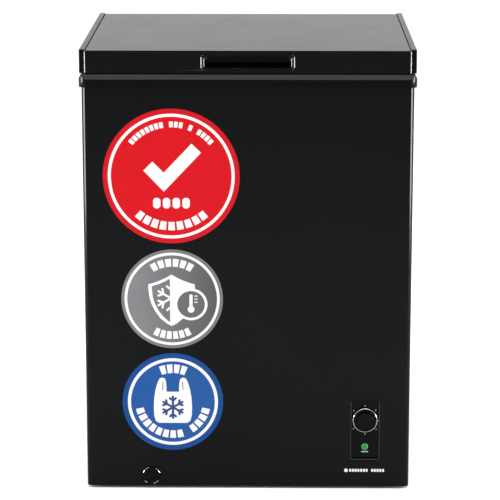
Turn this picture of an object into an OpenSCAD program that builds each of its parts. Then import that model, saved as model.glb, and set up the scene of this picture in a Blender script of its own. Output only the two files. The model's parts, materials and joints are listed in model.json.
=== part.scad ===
// Small chest freezer with a lift-up lid, a side compressor bay, a sliding
// basket, a front thermostat dial and a front drain. Front faces -Y, up is +Z.
// The origin is on the floor under the middle of the overall box.

/* [Cabinet] */
// Width over the painted sides
body_w = 618; // [600:1:640]
// Overall depth, lid front edge to hinge covers
total_d = 560; // [550:1:570]
// Overall height, floor to the top of the lid end caps
total_h = 850; // [840:1:880]
// Radius of the cabinet's two front vertical corners
corner_r = 10; // [6:1:14]
// Thickness of the insulated walls, paint to liner
wall_t = 53; // [50:1:56]
// Height of the feet
foot_h = 5; // [4:1:8]

/* [Lid] */
// Width over both end caps
lid_w = 624; // [622:1:626]
// Height of an end cap
lid_h = 44.5; // [44:0.5:46]
// Width of an end cap
cap_w = 10.5; // [8:0.5:14]
// How far the end caps stand above the top panel
cap_proud = 2.2; // [1:0.1:3]
// Width of the handle recess
handle_w = 174; // [150:2:200]
// Height of the handle recess
handle_h = 28; // [24:1:29]

/* [Compressor bay] */
// Width of the bay at the cabinet's right-hand end
bay_w = 203; // [200:1:210]
// Height of the bay's ceiling
bay_h = 290; // [280:5:300]

/* [Controls] */
// Distance of the thermostat dial from the middle of the front
dial_x = 224; // [215:1:230]
// Height of the thermostat dial's centre
dial_z = 137; // [130:1:140]
// Radius of the dial's skirt
dial_r = 24; // [22:0.5:24]
// Distance of the drain knob from the middle of the front
drain_x = -185; // [-200:1:-170]
// Height of the drain knob's centre
drain_z = 27; // [26:1:32]
// Radius of the drain knob
drain_r = 16; // [15:0.5:18]

/* [Basket] */
// Width of the basket along its slide
basket_w = 210; // [180:5:230]
// Depth of the basket below the ledge
basket_h = 190; // [150:5:230]

/* [Hidden] */
$fn = 48;

// Fore and aft places
collar_proud = 5;
front_y = collar_proud - total_d / 2;
lid_front = front_y - 3.5;
back_y = total_d / 2 - 30;
lid_back = back_y + 12;
half_w = body_w / 2;
sheet_t = 1;

// Heights of the lid, collar and shell
lid_z = total_h - lid_h;
panel_z = total_h - cap_proud;
collar_z = lid_z - 1.5;
ledge_z = collar_z - 12;
shell_top = collar_z - 14;
shoulder_z = collar_z - 10;
skirt_z = collar_z - 25;

// Steps across the collar, measured outwards from the cabinet's faces
plateau_out = 0;
plateau_in = -42;
lip_in = -wall_t - 2.5;

// Tank
liner_t = 1.5;
tank_floor = 80;
tank_r = 12;
bay_x = half_w - bay_w;
step_x = bay_x - 40;
step_z = bay_h + 40;
foam_y = back_y - 2;
drain_y = front_y + wall_t + 33;
funnel_r = 14;

// Lid hinge
pivot_y = total_d / 2 - 10;
pivot_z = lid_z + 0.5;
pin_r = 4;
hinge_x = 190;
skin_x = lid_w / 2 - cap_w;
run_gap = 0.05;

// Screws and bolts
clear_r = 2.6;
plate_screw_x = 12;
arm_screw_x = 11;
arm_screw_z = pivot_z + 24;
bolt_r = 3;
foot_stud_r = 3.9;

// Basket
basket_x = -half_w + wall_t + 8;
basket_wall = 3;
basket_top = ledge_z + 4;

// Colours
black = [0.03, 0.03, 0.035];
steel = [0.6, 0.61, 0.62];
white = [0.9, 0.9, 0.88];
copper = [0.72, 0.42, 0.25];
aluminium = [0.75, 0.76, 0.77];

// ---- helpers -------------------------------------------------------------

// Box between two corners
module block(low, high) {
    translate(low) cube(high - low);
}

// Rectangle with four round corners, between two corners
module round_rect(low, high, r) {
    translate(low + [r, 0]) square(high - low - [2 * r, 0]);
    translate(low + [0, r]) square(high - low - [0, 2 * r]);
    for (x = [low.x + r, high.x - r], y = [low.y + r, high.y - r])
        translate([x, y]) circle(r);
}

// The cabinet's outline in plan, grown by d, with its front corners rounded
module plan(d, r) {
    x = half_w + d;
    low_y = front_y - d;
    high_y = back_y + d;
    translate([-x, low_y + r]) square([2 * x, high_y - low_y - r]);
    translate([r - x, low_y]) square([2 * (x - r), 2 * r]);
    for (side = [-1, 1]) translate([side * (x - r), low_y + r]) circle(r);
}

// Flat ring in plan, between the outlines grown by d_out and d_in
module ring(d_out, d_in, r, z) {
    translate([0, 0, z[0]]) linear_extrude(z[1] - z[0]) difference() {
        plan(d_out, r);
        plan(d_in, max(2, r + d_in - d_out));
    }
}

// Cylinder along Y, from y to y + length
module rod_y(x, y, z, r, length) {
    translate([x, y, z]) rotate([-90, 0, 0]) cylinder(r = r, h = length);
}

// Cylinder along X
module rod_x(x, y, z, r, length) {
    translate([x, y, z]) rotate([0, 90, 0]) cylinder(r = r, h = length);
}

// Round pipe through a list of points, with a ball at each turn
module pipe(points, r) {
    for (i = [0 : len(points) - 2]) {
        step = points[i + 1] - points[i];
        turn = [0, acos(step.z / norm(step)), atan2(step.y, step.x)];
        translate(points[i]) rotate(turn) cylinder(r = r, h = norm(step));
    }
    for (i = [1 : 1 : len(points) - 2]) translate(points[i]) sphere(r);
}

// Pan-head screw whose head faces +Y, with its seat at the origin
module screw(head_r, shank) {
    rotate([-90, 0, 0]) {
        difference() {
            cylinder(r = head_r, h = head_r * 0.6);
            for (a = [0, 90]) rotate(a)
                translate([-head_r * 0.55, -0.5, head_r * 0.3]) cube([head_r * 1.1, 1, head_r]);
        }
        translate([0, 0, -shank]) cylinder(r = head_r / 2, h = shank);
    }
}

// ---- cabinet -------------------------------------------------------------

bezel_half = 27.7;
bezel_z = [55.5, 177];

module cabinet_shell() {
    flange = 12;
    color(black) difference() {
        union() {
            translate([0, 0, foot_h]) linear_extrude(shell_top - foot_h) difference() {
                plan(0, corner_r);
                plan(-sheet_t, corner_r - sheet_t);
                translate([sheet_t - half_w, 0]) square([body_w - 2 * sheet_t, total_d]);
            }
            for (side = [-1, 1]) {
                x = side < 0 ? sheet_t - half_w : half_w - sheet_t - flange;
                block([x, back_y - 2, foot_h], [x + flange, back_y - 1, shell_top]);
            }
        }
        block([dial_x - bezel_half + clip_gap, front_y - 1, bezel_z[0] + clip_gap],
              [dial_x + bezel_half - clip_gap, front_y + 2, bezel_z[1] - clip_gap]);
        rod_y(drain_x, front_y - 1, drain_z, bush_r, 3);
    }
}

// Opening behind the compressor, in the back panel
service_low = [bay_x + 16, 20];
service_high = [half_w - 14, bay_h - 20];

module back_panel() {
    color(steel) difference() {
        block([sheet_t - half_w, back_y - 1, foot_h], [half_w - sheet_t, back_y, shell_top]);
        block([service_low.x, back_y - 2, service_low.y],
              [service_high.x, back_y + 1, service_high.y]);
        screw_places() rod_y(0, -3, 0, clear_r, 4);
        grille_places() rod_y(0, -3, 0, grille_hole_r, 4);
    }
}

// Level sheet inside the painted sides, from one x to another
module floor_sheet(x_low, x_high, z_low, z_high) {
    translate([0, 0, z_low]) linear_extrude(z_high - z_low) intersection() {
        plan(-sheet_t, corner_r - sheet_t);
        translate([x_low, -total_d]) square([x_high - x_low, total_d + foam_y]);
    }
}

module base_pan() {
    color(steel) difference() {
        floor_sheet(-half_w, bay_x, foot_h, foot_h + 1);
        foot_places() translate([0, 0, foot_h - 1]) cylinder(r = foot_stud_r + 0.1, h = 3);
    }
}

foot_inset = 45;
foot_r = 18;

module foot_places() {
    for (x = [-1, 1], y = [front_y + foot_inset, back_y - foot_inset])
        translate([x * (half_w - foot_inset), y, 0]) children();
}

module feet() {
    color(black) foot_places() {
        cylinder(r1 = foot_r - 2, r2 = foot_r, h = 2);
        translate([0, 0, 2]) cylinder(r = foot_r, h = foot_h - 2);
        cylinder(r = foot_stud_r, h = foot_h + 8);
    }
}

// Block over the cabinet's outline grown by d, its top edges chamfered by run
module chamfered(d, z_low, z_break, z_high, run) {
    x = half_w + d;
    y_low = front_y - d;
    y_high = back_y + d;
    intersection() {
        translate([0, total_d, 0]) rotate([90, 0, 0]) linear_extrude(2 * total_d) polygon([
            [-x, z_low], [x, z_low], [x, z_break], [x - run, z_high], [run - x, z_high], [-x, z_break]
        ]);
        translate([-body_w, 0, 0]) rotate([90, 0, 90]) linear_extrude(2 * body_w) polygon([
            [y_low, z_low], [y_high, z_low], [y_high, z_break],
            [y_high - run, z_high], [y_low + run, z_high], [y_low, z_break]
        ]);
    }
}

// Moulded frame round the mouth: skirt, sloped shoulder, gasket seat and basket ledge
module top_collar() {
    skin = 3.5;
    outer_r = corner_r + collar_proud;
    color(black) {
        difference() {
            intersection() {
                chamfered(collar_proud, skirt_z, shoulder_z, collar_z, collar_proud - plateau_out);
                translate([0, 0, skirt_z]) linear_extrude(collar_z) plan(collar_proud, outer_r);
            }
            intersection() {
                chamfered(0, skirt_z - 1, shell_top + 1, collar_z - skin, 6);
                translate([0, 0, skirt_z - 1]) linear_extrude(collar_z) plan(0, corner_r);
            }
            translate([0, 0, skirt_z]) linear_extrude(2 * skin + collar_z) plan(plateau_in, 4);
        }
        ring(plateau_in + skin, plateau_in, 6, [ledge_z - skin, collar_z - skin]);
        ring(plateau_in, lip_in, 6, [ledge_z - skin, ledge_z]);
        translate([0, 0, ledge_z - 14]) linear_extrude(14 - skin) difference() {
            tank_outline(0);
            tank_outline(lip_in + wall_t);
        }
    }
}

// Plan of the tank's mouth, grown by a distance
module tank_outline(grow) {
    round_rect([wall_t - half_w - grow, front_y + wall_t - grow],
               [half_w - wall_t + grow, back_y - wall_t + grow], tank_r + grow);
}

// Tank: deep well on the left, shallow shelf over the compressor bay
module tank_solid(grow, top_z) {
    translate([0, 0, tank_floor - grow]) linear_extrude(step_z - tank_floor + 2 * grow)
        round_rect([wall_t - half_w - grow, front_y + wall_t - grow],
                   [step_x + grow, back_y - wall_t + grow], tank_r + grow);
    translate([0, 0, step_z - grow]) linear_extrude(top_z - step_z + grow) tank_outline(grow);
}

module inner_liner() {
    color(white) difference() {
        tank_solid(liner_t, ledge_z - 3.5);
        tank_solid(0, collar_z);
        translate([drain_x, drain_y, tank_floor - 5]) cylinder(r = funnel_r, h = 10);
    }
}

coil_z = [for (i = [0 : 6]) step_z + 45 + i * 55];
coil_r = 4;

// One turn of tube lying against the liner
module coil_turn(z) {
    inset = liner_t + coil_r;
    x = half_w - wall_t + inset;
    y_low = front_y + wall_t - inset;
    y_high = back_y - wall_t + inset;
    r = tank_r + inset;
    for (y = [y_low, y_high]) rod_x(r - x, y, z, coil_r, 2 * (x - r));
    for (side = [-1, 1]) rod_y(side * x, y_low + r, z, coil_r, y_high - y_low - 2 * r);
    corners = [
        [x - r, y_high - r, 0], [r - x, y_high - r, 90],
        [r - x, y_low + r, 180], [x - r, y_low + r, 270]
    ];
    for (c = corners) translate([c[0], c[1], z]) rotate(c[2])
        rotate_extrude(angle = 90) translate([r, 0]) circle(coil_r);
}

// Short risers that join one turn to the next, at the back
module coil_risers(r) {
    for (i = [0 : len(coil_z) - 2])
        translate([(i % 2 - 0.5) * 300, back_y - wall_t + liner_t + coil_r, coil_z[i]])
            cylinder(r = r, h = coil_z[i + 1] - coil_z[i]);
}

module evaporator_coil() {
    color(aluminium) {
        for (z = coil_z) coil_turn(z);
        coil_risers(coil_r);
    }
}

loop_gap = 70;
loop_z = [for (i = [0 : 5]) step_z + loop_gap * (i + 1)];
loop_r = 2.5;
loop_y = [front_y + 55, foam_y - 55];

// Warm tube snaking over the inside of one painted side
module side_serpentine(side) {
    x = side * (half_w - sheet_t - loop_r);
    for (z = loop_z) rod_y(x, loop_y[0], z, loop_r, loop_y[1] - loop_y[0]);
    for (i = [0 : len(loop_z) - 2]) translate([x, loop_y[(i + 1) % 2], (loop_z[i] + loop_z[i + 1]) / 2])
        rotate([i % 2 == 0 ? 0 : 180, 0, 0]) rotate([0, 90, 0])
        rotate_extrude(angle = 180) translate([loop_gap / 2, 0]) circle(loop_r);
}

module condenser_coil() {
    color(copper) for (side = [-1, 1]) side_serpentine(side);
}

module foam_insulation() {
    color([0.85, 0.75, 0.5]) difference() {
        translate([0, 0, foot_h + 1]) linear_extrude(ledge_z - 3.5 - foot_h - 1) difference() {
            plan(-sheet_t, corner_r - sheet_t);
            translate([-half_w, foam_y]) square([body_w, 10]);
        }
        tank_solid(liner_t, total_h);
        for (z = coil_z) translate([0, 0, z - coil_r]) linear_extrude(2 * coil_r)
            tank_outline(liner_t + 2 * coil_r);
        coil_risers(coil_r + 1);
        block([bay_x - 1, front_y, 0], [half_w, back_y, bay_h + 1]);
        for (side = [-1, 1]) {
            x = side < 0 ? -half_w : half_w - 7;
            block([x, loop_y[0] - 40, loop_z[0] - 5], [x + 7, loop_y[1] + 40, loop_z[5] + 5]);
        }
        translate([drain_x, drain_y, drain_z]) cylinder(r = 17, h = tank_floor);
        rod_y(drain_x, front_y, drain_z, 19, drain_y - front_y + 10);
        foot_places() cylinder(r = 6, h = foot_h + 10);
    }
}

// ---- compressor bay ------------------------------------------------------

pump_x = half_w - 102;
pump_y = 110;
pump_r = 62;
pump_z = [30, 172];
bolt_step = [62, 50];
rail_z = 22;
rail_t = 3;
suction_r = 4;
discharge_r = 3;
liquid_r = 2.5;
capillary_r = 2;
drier_x = bay_x + 24;
drier_y = 190;
drier_z = 110;
drier_length = 110;

module bay_partition() {
    color(steel) {
        block([bay_x - 1, front_y + sheet_t, foot_h + 1], [bay_x, foam_y, bay_h]);
        floor_sheet(bay_x - 1, half_w, bay_h, bay_h + 1);
    }
}

module compressor_base_plate() {
    color(steel) difference() {
        floor_sheet(bay_x, half_w, foot_h, foot_h + 2);
        foot_places() translate([0, 0, foot_h - 1]) cylinder(r = foot_stud_r + 0.1, h = 4);
        pump_places() translate([0, 0, foot_h - 1]) cylinder(r = bolt_r + 0.1, h = 4);
    }
}

// Two pressed domes joined by a welded flange
module compressor_shell() {
    dome = 28;
    weld_z = 105;
    color([0.05, 0.05, 0.055]) translate([pump_x, pump_y, 0]) rotate_extrude() {
        translate([0, pump_z[0] + dome]) square([pump_r, pump_z[1] - pump_z[0] - 2 * dome]);
        translate([0, pump_z[0]]) square([pump_r - dome, pump_z[1] - pump_z[0]]);
        for (z = [pump_z[0] + dome, pump_z[1] - dome]) intersection() {
            translate([pump_r - dome, z]) circle(dome);
            translate([pump_r - dome, z - dome]) square([dome, 2 * dome]);
        }
        translate([0, weld_z]) square([pump_r + 4, 5]);
    }
}

module pump_places() {
    for (x = [-1, 1], y = [-1, 1])
        translate([pump_x + x * bolt_step.x, pump_y + y * bolt_step.y, 0]) children();
}

module compressor_feet() {
    color(steel) difference() {
        union() {
            for (y = [-1, 1]) translate([pump_x, pump_y + y * bolt_step.y, rail_z + rail_t / 2])
                cube([2 * bolt_step.x + 28, 28, rail_t], center = true);
            for (x = [-1, 1]) translate([pump_x + x * 34, pump_y, rail_z + rail_t / 2])
                cube([24, 2 * bolt_step.y, rail_t], center = true);
            translate([pump_x, pump_y, rail_z]) cylinder(r = 36, h = pump_z[0] - rail_z);
        }
        pump_places() translate([0, 0, rail_z - 2]) cylinder(r = grommet_r, h = 10);
    }
}

grommet_r = 6;
grommet_top = rail_z + rail_t + 1;

module compressor_grommets() {
    color([0.08, 0.08, 0.08]) pump_places() difference() {
        union() {
            translate([0, 0, foot_h + 2]) cylinder(r = grommet_r + 4, h = rail_z - foot_h - 2);
            translate([0, 0, rail_z]) cylinder(r = grommet_r - 0.1, h = grommet_top - rail_z);
        }
        cylinder(r = bolt_r + 0.1, h = 2 * grommet_top);
    }
}

module compressor_bolts() {
    color(steel) pump_places() {
        translate([0, 0, foot_h]) cylinder(r = bolt_r, h = grommet_top - foot_h);
        translate([0, 0, grommet_top]) cylinder(r = bolt_r + 5, h = 1.5);
        translate([0, 0, grommet_top + 1.5]) cylinder(r = bolt_r + 2.5, h = 5, $fn = 6);
    }
}

relay_y = pump_y - 96;
relay_z = [66, 124];
relay_half = 24;
relay_wall = 2;
lead_y = relay_y + 12;
lead_r = 3;

module relay_cover() {
    color(black) difference() {
        block([pump_x - relay_half, relay_y, relay_z[0]],
              [pump_x + relay_half, pump_y - pump_r + 20, relay_z[1]]);
        block([pump_x - relay_half + relay_wall, relay_y + relay_wall, relay_z[0] + relay_wall],
              [pump_x + relay_half - relay_wall, pump_y, relay_z[1] - relay_wall]);
        translate([pump_x, pump_y, 60]) cylinder(r = pump_r + 4.3, h = 80);
        translate([pump_x, lead_y, 60]) cylinder(r = lead_r + 0.5, h = 20);
    }
}

module filter_drier() {
    r = 9;
    end = 8;
    taper = 12;
    color(copper) translate([drier_x, drier_y, drier_z]) rotate_extrude() polygon([
        [0, 0], [liquid_r, 0], [liquid_r, end], [r, end + taper], [r, drier_length - end - taper],
        [liquid_r, drier_length - end], [liquid_r, drier_length], [0, drier_length]
    ]);
}

// Suction, discharge and capillary tubes between the compressor, drier and bay walls
module refrigerant_lines() {
    suction = [pump_x + 30, -120, 215];
    discharge = [pump_x - 20, pump_y, 240];
    drier_top = drier_z + drier_length;
    color(copper) {
        pipe([[suction.x, pump_y, pump_z[1]], [suction.x, pump_y, suction.z], suction,
              suction + [0, 0, 47], [bay_x, suction.y, suction.z + 47]], suction_r);
        pipe([[discharge.x, pump_y, pump_z[1]], discharge, [bay_x, discharge.y, discharge.z]], discharge_r);
        pipe([[drier_x, drier_y, drier_top], [drier_x, drier_y, drier_top + 35],
              [bay_x, drier_y, drier_top + 35]], capillary_r);
        pipe([[drier_x, drier_y, drier_z], [drier_x, drier_y, drier_z - 25],
              [bay_x, drier_y, drier_z - 25]], liquid_r);
    }
}

// Lead from the thermostat back to the compressor relay
module wiring() {
    x = bay_x + 20;
    y = front_y + 24;
    low_z = 14;
    color([0.85, 0.85, 0.82]) pipe([[dial_x, y, dial_z - body_half], [dial_x, y, low_z], [x, y, low_z],
        [x, lead_y, low_z], [pump_x, lead_y, low_z], [pump_x, lead_y, relay_z[0] + 9]], lead_r);
}

grille_low = [bay_x + 4, 12];
grille_high = [half_w - 4, bay_h - 8];
grille_t = 1.2;
grille_hole_r = 2;
slot_size = [42, 6];
slot_pitch = [52, 22];
gland_x = half_w - 32;
gland_z = 36;
gland_r = 7.5;
cord_hole_r = 4;

module grille_places() {
    for (x = [grille_low.x + 7, grille_high.x - 7], z = [grille_low.y + 9, 150, grille_high.y - 9])
        translate([x, back_y, z]) children();
}

// Pressed steel cover behind the compressor, with rows of slots
module service_grille() {
    color(steel) difference() {
        block([grille_low.x, back_y, grille_low.y], [grille_high.x, back_y + grille_t, grille_high.y]);
        for (row = [0 : 8], column = [0 : 2])
            translate([bay_x + 26 + column * slot_pitch.x, back_y - 1, 66 + row * slot_pitch.y])
                cube([slot_size.x, 4, slot_size.y]);
        grille_places() rod_y(0, -1, 0, grille_hole_r, 4);
        rod_y(gland_x, back_y - 1, gland_z, gland_r, 4);
    }
}

module grille_screws() {
    color(steel) grille_places() translate([0, grille_t, 0]) screw(3.8, 2.1);
}

// Flanged inlet for a mains lead, plain bored through
module cord_gland() {
    color(black) difference() {
        union() {
            rod_y(gland_x, back_y - 6, gland_z, gland_r - 0.1, 12);
            rod_y(gland_x, back_y + grille_t, gland_z, gland_r + 3.5, 3);
            rod_y(gland_x, back_y - 6, gland_z, gland_r + 1.5, 3);
        }
        rod_y(gland_x, back_y - 7, gland_z, cord_hole_r, 16);
    }
}

module rating_plate() {
    color([0.75, 0.76, 0.78]) block([-230, back_y, 330], [-130, back_y + 0.4, 390]);
}

// ---- controls ------------------------------------------------------------

face_y = front_y + 5;
shaft_r = 3;
body_half = 18;
lamp_z = 83;
lamp_r = 5;
clip_gap = 1.2;
tub_wall = 1.4;

// Recessed panel that clips into the front: a flange, a tub and its face
module control_bezel() {
    tub = bezel_half - clip_gap;
    tub_z = [bezel_z[0] + clip_gap, bezel_z[1] - clip_gap];
    color(black) difference() {
        union() {
            block([dial_x - bezel_half, front_y - 1.2, bezel_z[0]],
                  [dial_x + bezel_half, front_y, bezel_z[1]]);
            block([dial_x - tub, front_y, tub_z[0]], [dial_x + tub, face_y + 2, tub_z[1]]);
        }
        block([dial_x - tub + tub_wall, front_y - 3, tub_z[0] + tub_wall],
              [dial_x + tub - tub_wall, face_y, tub_z[1] - tub_wall]);
        rod_y(dial_x, front_y, dial_z, shaft_r + 2.5, 10);
        rod_y(dial_x, front_y, lamp_z, lamp_r, 10);
    }
}

module thermostat_body() {
    color([0.8, 0.8, 0.78]) difference() {
        union() {
            rod_y(dial_x, face_y + 2, dial_z, 9, 4);
            block([dial_x - 22, face_y + 6, dial_z - body_half],
                  [dial_x + 22, face_y + 30, dial_z + body_half]);
        }
        rod_y(dial_x, face_y, dial_z, shaft_r + run_gap, 24);
    }
}

module thermostat_shaft() {
    color(steel) rod_y(dial_x, face_y - 6, dial_z, shaft_r, 27);
}

// Dial: thick skirt with a round edge, a sunk ring, a raised grip and a pointer groove
module thermostat_knob() {
    skirt_h = 5.6;
    grip_h = 9.4;
    grip_r = dial_r - 7.4;
    color(black) translate([dial_x, face_y - 0.4, dial_z]) rotate([90, 0, 0]) difference() {
        rotate_extrude() polygon([
            [0, 0], [dial_r - 1, 0], [dial_r, 1], [dial_r, skirt_h - 1.6], [dial_r - 0.5, skirt_h - 0.5],
            [dial_r - 1.6, skirt_h], [dial_r - 3, skirt_h], [dial_r - 3.6, skirt_h - 1.8],
            [grip_r + 0.8, skirt_h - 1.8], [grip_r + 0.4, skirt_h - 1.2], [grip_r, grip_h - 1.4],
            [grip_r - 0.5, grip_h - 0.4], [grip_r - 1.6, grip_h], [0, grip_h]
        ]);
        translate([grip_r - 8, -0.7, grip_h - 0.6]) cube([6, 1.4, 2]);
        translate([0, 0, -1]) cylinder(r = shaft_r, h = skirt_h + 1);
    }
}

// Short round lens with a gently domed face
module lamp_lens() {
    dome_r = 9;
    height = 4.5;
    color([0.1, 0.7, 0.25]) translate([dial_x, face_y + 2, lamp_z]) rotate([90, 0, 0])
        rotate_extrude() intersection() {
            square([lamp_r, height]);
            translate([0, height - dome_r]) circle(dome_r);
        }
}

module lamp_holder() {
    color([0.8, 0.8, 0.78]) rod_y(dial_x, face_y + 2, lamp_z, 7, 12);
}

// ---- drain ---------------------------------------------------------------

bush_r = 14.5;
spout_r = 12;
waste_r = 9;
waste_wall = 2;
bush_end = front_y + 35;
knob_y = front_y - 0.7;

module drain_sleeve() {
    color(black) difference() {
        union() {
            rod_y(drain_x, front_y, drain_z, bush_r, bush_end + 4 - front_y);
            rod_y(drain_x, front_y + sheet_t, drain_z, bush_r + 4, 3);
        }
        rod_y(drain_x, front_y - 1, drain_z, spout_r + run_gap, bush_end + 1 - front_y);
        rod_y(drain_x, front_y, drain_z, waste_r, bush_end + 10 - front_y);
    }
}

// Waste pipe from the tank floor down and forward to the front bush
module drain_tube() {
    top = tank_floor - 20;
    color([0.85, 0.85, 0.83]) difference() {
        union() {
            translate([drain_x, drain_y, drain_z]) cylinder(r = waste_r, h = top - drain_z);
            rod_y(drain_x, bush_end, drain_z, waste_r, drain_y - bush_end);
            translate([drain_x, drain_y, drain_z]) sphere(waste_r);
        }
        translate([drain_x, drain_y, drain_z]) cylinder(r = waste_r - waste_wall, h = top);
        rod_y(drain_x, bush_end - 1, drain_z, waste_r - waste_wall, drain_y - bush_end + 1);
        translate([drain_x, drain_y, drain_z]) sphere(waste_r - waste_wall);
    }
}

plug_r = 11;

module drain_funnel() {
    color(white) translate([drain_x, drain_y, 0]) difference() {
        union() {
            translate([0, 0, tank_floor - 20]) cylinder(r = funnel_r - 0.1, h = 20);
            translate([0, 0, tank_floor]) cylinder(r = funnel_r + 6, h = 1.5);
        }
        translate([0, 0, tank_floor - 14]) cylinder(r = plug_r + run_gap, h = 20);
        translate([0, 0, tank_floor - 21]) cylinder(r = waste_r - waste_wall, h = 30);
    }
}

ring_y = bush_end - 8;

module drain_seal_ring() {
    color([0.08, 0.08, 0.08]) difference() {
        rod_y(drain_x, ring_y + 0.2, drain_z, spout_r, 2.6);
        rod_y(drain_x, ring_y - 1, drain_z, spout_r - 2 + run_gap, 6);
    }
}

// Hollow stem that pulls out, with a slot in its upper side that a half turn brings underneath
module drain_spout() {
    color(black) difference() {
        rod_y(drain_x, knob_y, drain_z, spout_r, ring_y + 6 - knob_y);
        difference() {
            rod_y(drain_x, ring_y, drain_z, spout_r + 2, 3);
            rod_y(drain_x, ring_y - 1, drain_z, spout_r - 2, 6);
        }
        rod_y(drain_x, front_y + 2, drain_z, spout_r - 3.5, 60);
        block([drain_x - 4, front_y + 2, drain_z + 4], [drain_x + 4, front_y + 12, drain_z + spout_r + 3]);
    }
}

// Knob on the stem's end: disc, broken rim and finger bar
module drain_knob() {
    disc_t = 2.6;
    proud = 4.3;
    rim_w = 2.2;
    color(black) {
        rod_y(drain_x, knob_y - disc_t, drain_z, drain_r, disc_t);
        difference() {
            rod_y(drain_x, knob_y - proud, drain_z, drain_r, proud - disc_t);
            rod_y(drain_x, knob_y - proud - 1, drain_z, drain_r - rim_w, proud);
            for (a = [0, 90]) translate([drain_x, knob_y - proud, drain_z]) rotate([0, a, 0])
                cube([2 * drain_r + 2, 2 * proud, 7], center = true);
        }
        block([drain_x - 2, knob_y - proud, drain_z - 10], [drain_x + 2, knob_y - disc_t, drain_z + 10]);
    }
}

module drain_plug() {
    color([0.15, 0.15, 0.15]) translate([drain_x, drain_y, 0]) {
        translate([0, 0, tank_floor - 13]) cylinder(r = plug_r, h = 15);
        translate([0, 0, tank_floor + 1.8]) cylinder(r = plug_r + 5, h = 3);
        block([-1.5, -8, tank_floor + 4], [1.5, 8, tank_floor + 14]);
    }
}

// ---- basket --------------------------------------------------------------

basket_y = [front_y - lip_in + 8, back_y + lip_in - 8];

module basket() {
    x = [basket_x, basket_x + basket_w];
    bottom = ledge_z - basket_h;
    reach = 17;
    color(white) difference() {
        union() {
            block([x[0], basket_y[0], bottom], [x[1], basket_y[1], basket_top]);
            block([x[0] + 20, basket_y[0] - reach, ledge_z + 0.4],
                  [x[1] - 20, basket_y[1] + reach, basket_top]);
        }
        block([x[0] + basket_wall, basket_y[0] + basket_wall, bottom + basket_wall],
              [x[1] - basket_wall, basket_y[1] - basket_wall, total_h]);
    }
}

// ---- front trim ----------------------------------------------------------

module front_badge() {
    color([0.8, 0.8, 0.82]) block([dial_x - 40, front_y - 0.5, 33.5], [dial_x + 40, front_y, 40.5]);
}

sticker_x = -143;
big_sticker_r = 128;
small_sticker_r = 96;

module front_disc(z, r) {
    rod_y(sticker_x, front_y - 0.3, z, r, 0.3);
}

module sticker_red() {
    color([0.8, 0.03, 0.05]) front_disc(611, big_sticker_r);
}

module sticker_grey() {
    color([0.4, 0.4, 0.42]) front_disc(375, small_sticker_r);
}

module sticker_blue() {
    color([0.1, 0.25, 0.55]) front_disc(173, small_sticker_r);
}

// ---- hinges --------------------------------------------------------------

hinge_foot = 672;
ear_in = 20;
ear_t = 2.5;
knuckle_r = 7;
plate_screw_z = [hinge_foot + 14, hinge_foot + 70];

// Screw seats on both hinges' cabinet plates
module screw_places() {
    for (side = [-1, 1], x = [-1, 1], z = plate_screw_z)
        translate([side * hinge_x + x * plate_screw_x, back_y, z]) children();
}

// Steel channel on the cabinet's back: plate and two ears round the pin
module hinge_body(x) {
    color(steel) difference() {
        union() {
            block([x - ear_in - ear_t, back_y, hinge_foot], [x + ear_in + ear_t, back_y + 2, skirt_z - 3]);
            for (start = [x - ear_in - ear_t, x + ear_in]) {
                translate([start, 0, 0]) rotate([90, 0, 90]) linear_extrude(ear_t) polygon([
                    [back_y, hinge_foot], [back_y + 8, hinge_foot], [pivot_y + knuckle_r, hinge_foot + 80],
                    [pivot_y + knuckle_r, pivot_z], [pivot_y - knuckle_r, pivot_z],
                    [pivot_y - knuckle_r, pivot_z - 6], [back_y + 8, pivot_z - 10],
                    [back_y + 8, skirt_z - 3], [back_y, skirt_z - 3]
                ]);
                rod_x(start, pivot_y, pivot_z, knuckle_r, ear_t);
            }
        }
        rod_x(x - 30, pivot_y, pivot_z, pin_r + 0.02, 60);
        for (side = [-1, 1], z = plate_screw_z) rod_y(x + side * plate_screw_x, back_y - 1, z, clear_r, 4);
    }
}

module hinge_body_left() { hinge_body(-hinge_x); }

module hinge_body_right() { hinge_body(hinge_x); }

module hinge_pin(x) {
    color([0.75, 0.76, 0.78]) {
        rod_x(x - ear_in - ear_t - 1.5, pivot_y, pivot_z, pin_r, 2 * (ear_in + ear_t) + 3);
        rod_x(x - ear_in - ear_t - 3, pivot_y, pivot_z, 5.5, 2.5);
    }
}

module hinge_pin_left() { hinge_pin(-hinge_x); }

module hinge_pin_right() { hinge_pin(hinge_x); }

// Space taken by the torsion spring round the pin
module hinge_spring(x) {
    color([0.5, 0.5, 0.5]) difference() {
        rod_x(x + 1.5, pivot_y, pivot_z, knuckle_r - 0.2, ear_in - 2.5);
        rod_x(x, pivot_y, pivot_z, pin_r + 0.6, ear_in);
    }
}

module hinge_spring_left() { hinge_spring(-hinge_x); }

module hinge_spring_right() { hinge_spring(hinge_x); }

// Plastic cover over the lower part of a hinge, open at the top
module hinge_cover(x) {
    half = ear_in + ear_t + 3.6;
    color(black) difference() {
        block([x - half - 2, back_y, hinge_foot - 4], [x + half + 2, total_d / 2, pivot_z - 9]);
        block([x - half, back_y - 1, hinge_foot - 2], [x + half, total_d / 2 - 2, pivot_z]);
        block([x - half - 3, back_y - 1, skirt_z - 1], [x + half + 3, back_y + 6, pivot_z]);
    }
}

module hinge_cover_left() { hinge_cover(-hinge_x); }

module hinge_cover_right() { hinge_cover(hinge_x); }

// Screw seats on both hinge arms
module arm_screw_places() {
    for (side = [-1, 1], x = [-1, 1])
        translate([side * hinge_x + x * arm_screw_x, lid_back, arm_screw_z]) children();
}

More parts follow.
